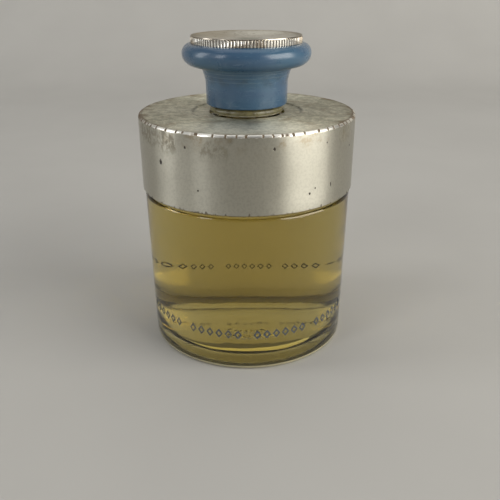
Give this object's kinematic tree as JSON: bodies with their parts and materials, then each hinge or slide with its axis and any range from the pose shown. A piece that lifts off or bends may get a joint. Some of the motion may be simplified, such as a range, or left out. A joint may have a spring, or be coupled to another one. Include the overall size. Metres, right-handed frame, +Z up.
{
  "type": "aftershave bottle",
  "caption": "Round filled glass bottle with a drawn metal collar over its shoulder and a flanged screw cap with a reeded metal-look top.",
  "frame": {"origin": "centre of the bottle's base, on the surface that it stands on", "axes": "+Z up along the bottle's axis, towards the cap; -Y towards the front, where the larger printed row is; +X to the viewer's right"},
  "size_m": [0.067, 0.067, 0.0967],
  "materials": {
    "clear_glass": "clear, slightly grey-green, polished",
    "aftershave": "clear olive-amber liquid",
    "collar_metal": "satin, tarnished and pitted",
    "ink": "screen-printed slate blue ink",
    "blue_plastic": "glossy slate blue moulding",
    "silver_plating": "bright silver plating on plastic, worn and spotted with tarnish",
    "liner_board": "pulp board",
    "liner_facing": "smooth coated paper"
  },
  "bodies": {
    "bottle": {"bottle_glass": "clear_glass", "aftershave_liquid": "aftershave", "shoulder_collar": "collar_metal", "front_print": "ink", "rear_print": "ink"},
    "liner": {"cap_liner_board": "liner_board", "cap_liner_facing": "liner_facing"},
    "cap": {"cap_shell": "blue_plastic", "cap_crown": "silver_plating"}
  },
  "joints": [
    {"name": "cap_lift", "type": "slide", "parent": "bottle", "child": "liner", "axis": [0, 0, 1], "range_m": [0, 0.01112]},
    {"name": "cap_turn", "type": "hinge", "parent": "liner", "child": "cap", "pos_m": [0, 0, 0.0866], "axis": [0, 0, 1], "range_deg": [0, 1260]}
  ],
  "couplings": [
    {"joint": "cap_lift", "follows": "cap_turn", "m_per_rad": 0.00050532}
  ]
}
